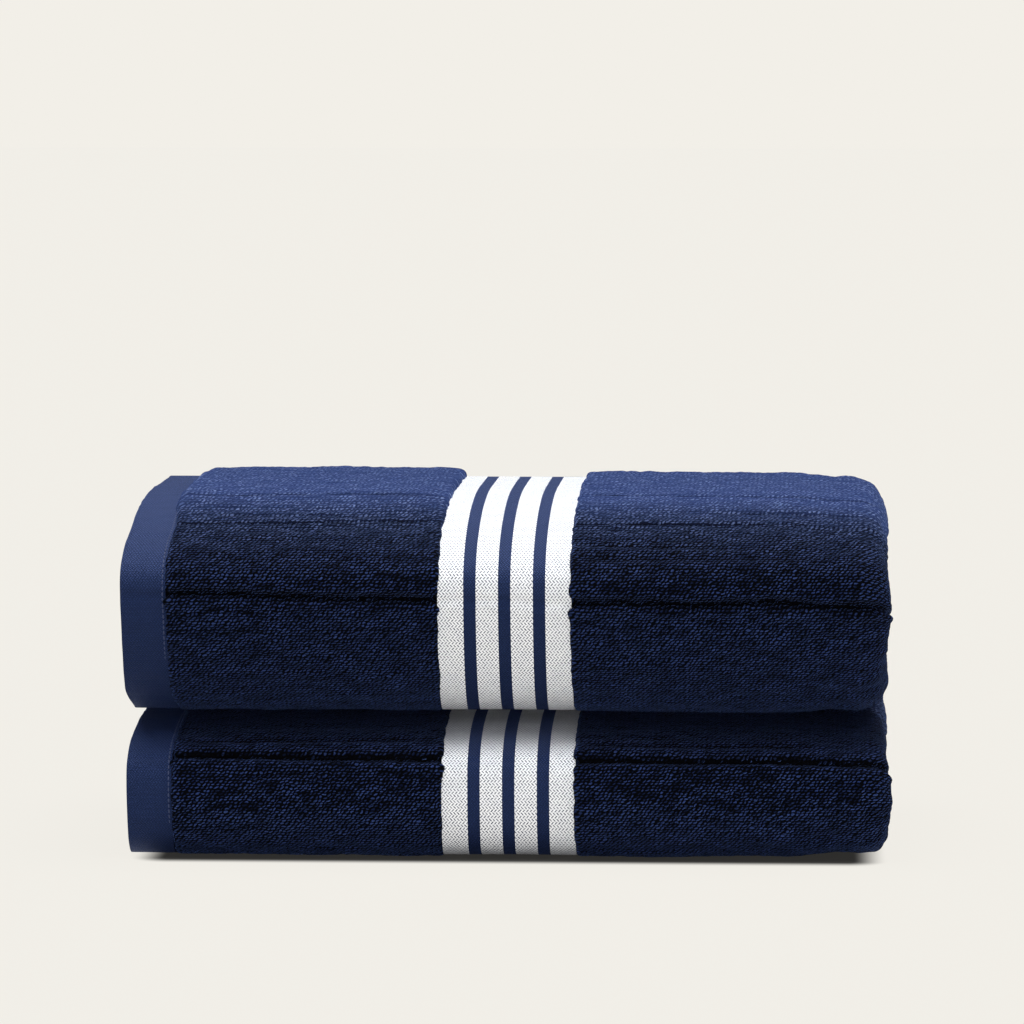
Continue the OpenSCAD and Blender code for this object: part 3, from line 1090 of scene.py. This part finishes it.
lower = make_towel(
    "lower", LOWER, grooves=LOWER_GROOVES, loft=0.0, bulge=1.0, sag=(2.3, -12, 26),
    pressed=0.75, parts=["all"], top_spacing=MEDIUM, rests_on=["floor"], nodes=lower_nodes)
upper = make_towel(
    "upper", UPPER, grooves=UPPER_GROOVES, loft=2.2, bulge=1.8, sag=(1.6, -25, 40),
    pressed=0.0, parts=["top", "wrap", "base"], top_spacing=FINE,
    rests_on=["lower_towel_terry_field"], nodes=upper_nodes)
for towel in (lower, upper):
    build_strips(towel)
    build_stitches(towel, towel_parts(towel.section, MEDIUM, MEDIUM))
build_side_hem(lower, LOWER.side_hem, "lower_towel_side_hem", "lower_side_hem", "lower_towel")
build_side_hem(lower, LOWER.inner_edge, "lower_towel_side_hem_inner", "lower_side_hem_inner",
               "lower_towel")
build_side_hem(upper, UPPER.side_hem, "top_panel_side_hem", "flap_side_hem", "upper_flap")
build_side_hem(upper, UPPER.inner_edge, "middle_panel_side_hem", "upper_side_hem_inner",
               "upper_towel")
build_label("lower_towel_care_label", "lower_care_label", "lower_towel")
build_label("top_panel_care_label", "flap_care_label", "upper_flap")


# ---------------------------------------------------------------- stage, light, camera

PALE = rgb(242, 239, 232)       # floor and backdrop
DIM = (0.15, 0.155, 0.17, 1.0)  # sky above the backdrop
DAYLIGHT = (0.94, 0.97, 1.0)
FLOOR_GLOW = 0.938              # so that the floor looks as pale as the backdrop behind it
FLOOR_SHARE = 0.035             # of the light that falls on it, which leaves a soft shadow
CONTACT = (167.0, 119.0)        # half length and half depth of the patch under the towels, round which a contact shadow is painted
CONTACT_FADE = (3.0, 20.0)      # how far outside it the painted shadow is dark, and where the floor is pale again
BACKDROP_TOP = (0.02, 0.06)     # how high the pale backdrop starts to end, and ends
LENS = 215                      # millimetres, on a sensor 36 wide
CAMERA_AIM_Z = 98.0             # height of the place it aims at, above the floor
CAMERA_AWAY = 3.0               # metres from the front
CAMERA_TURN = 2.8               # degrees to the right of the front
CAMERA_RISE = 5.5               # degrees above the horizon
VIEW_DOWN = 4.076               # degrees below level, and to the left of straight ahead
VIEW_LEFT = 2.753


def make_floor():
    """Pale floor that glows a little, except for a painted contact shadow round where the towels
    stand on it.
    """
    bpy.ops.mesh.primitive_plane_add(size=60)
    floor = bpy.context.object
    floor.name = "floor"
    tree = Tree("pale_floor")
    place_on_floor = tree.nodes.new("ShaderNodeNewGeometry").outputs["Position"]
    split = tree.nodes.new("ShaderNodeSeparateXYZ")
    tree.links.new(place_on_floor, split.inputs[0])
    away = []
    for value, half in zip(split.outputs, CONTACT):
        past = tree.math("SUBTRACT", tree.math("ABSOLUTE", value), half * MM)
        away.append(tree.math("POWER", tree.math("MAXIMUM", past, 0.0), 2.0))
    gap = tree.math("SQRT", tree.math("ADD", *away))
    # Painted shadow: the glow falls nearly to nothing close round the towels.
    glow_and_painted_shadow = tree.range(gap, CONTACT_FADE[0] * MM, CONTACT_FADE[1] * MM, 0.03, FLOOR_GLOW)
    tree.feed(tree.shader.inputs["Emission Strength"], glow_and_painted_shadow)
    tree.set(Base_Color=tuple(c * FLOOR_SHARE for c in PALE[:3]) + (1,), Emission_Color=PALE,
             Roughness=1.0, Specular_IOR_Level=0.0)
    floor.data.materials.append(tree.material)


def make_sky():
    """Pale round the horizon, where it is the backdrop, and dimmer above."""
    world = bpy.data.worlds.new("studio")
    bpy.context.scene.world = world
    world.use_nodes = True
    nodes, links = world.node_tree.nodes, world.node_tree.links
    way = nodes.new("ShaderNodeTexCoord")
    split = nodes.new("ShaderNodeSeparateXYZ")
    links.new(way.outputs["Generated"], split.inputs[0])
    height = nodes.new("ShaderNodeMapRange")
    height.interpolation_type = "SMOOTHSTEP"
    for i, number in enumerate((*BACKDROP_TOP, 0.0, 1.0)):
        height.inputs[i + 1].default_value = number
    links.new(split.outputs[2], height.inputs[0])
    mix = nodes.new("ShaderNodeMix")
    mix.data_type = "RGBA"
    mix.inputs["A"].default_value = PALE
    mix.inputs["B"].default_value = DIM
    links.new(height.outputs[0], mix.inputs["Factor"])
    links.new(mix.outputs["Result"], nodes["Background"].inputs["Color"])


def add_sun(name, energy, spread, tilt, turn):
    """Sunlight from a patch of sky spread degrees wide, tilted and turned from overhead."""
    lamp = bpy.data.lights.new(name, "SUN")
    lamp.energy = energy
    lamp.angle = math.radians(spread)
    lamp.color = DAYLIGHT
    sun = bpy.data.objects.new(name, lamp)
    sun.rotation_euler = (math.radians(tilt), math.radians(turn), 0)
    bpy.context.collection.objects.link(sun)


def make_light():
    """The sky, a broad light from overhead, and a little light from the front."""
    make_sky()
    add_sun("overhead", energy=4.7, spread=60, tilt=1, turn=4)
    add_sun("front_fill", energy=1.2, spread=6, tilt=87, turn=0)


def make_camera():
    """From a little above, and a little to the right of the front."""
    data = bpy.data.cameras.new("camera")
    data.lens = LENS
    data.sensor_width = 36
    data.clip_end = 100
    camera = bpy.data.objects.new("camera", data)
    aim = np.array([0, FRONT_Y, CAMERA_AIM_Z]) * MM
    a, e = math.radians(CAMERA_TURN), math.radians(CAMERA_RISE)
    back = np.array([math.sin(a) * math.cos(e), -math.cos(a) * math.cos(e), math.sin(e)])
    camera.location = Vector(aim + back * CAMERA_AWAY)
    camera.rotation_euler = (math.radians(90 - VIEW_DOWN), 0, math.radians(VIEW_LEFT))
    bpy.context.collection.objects.link(camera)
    bpy.context.scene.camera = camera


make_floor()
make_light()
make_camera()
bpy.context.scene.view_settings.view_transform = "Standard"
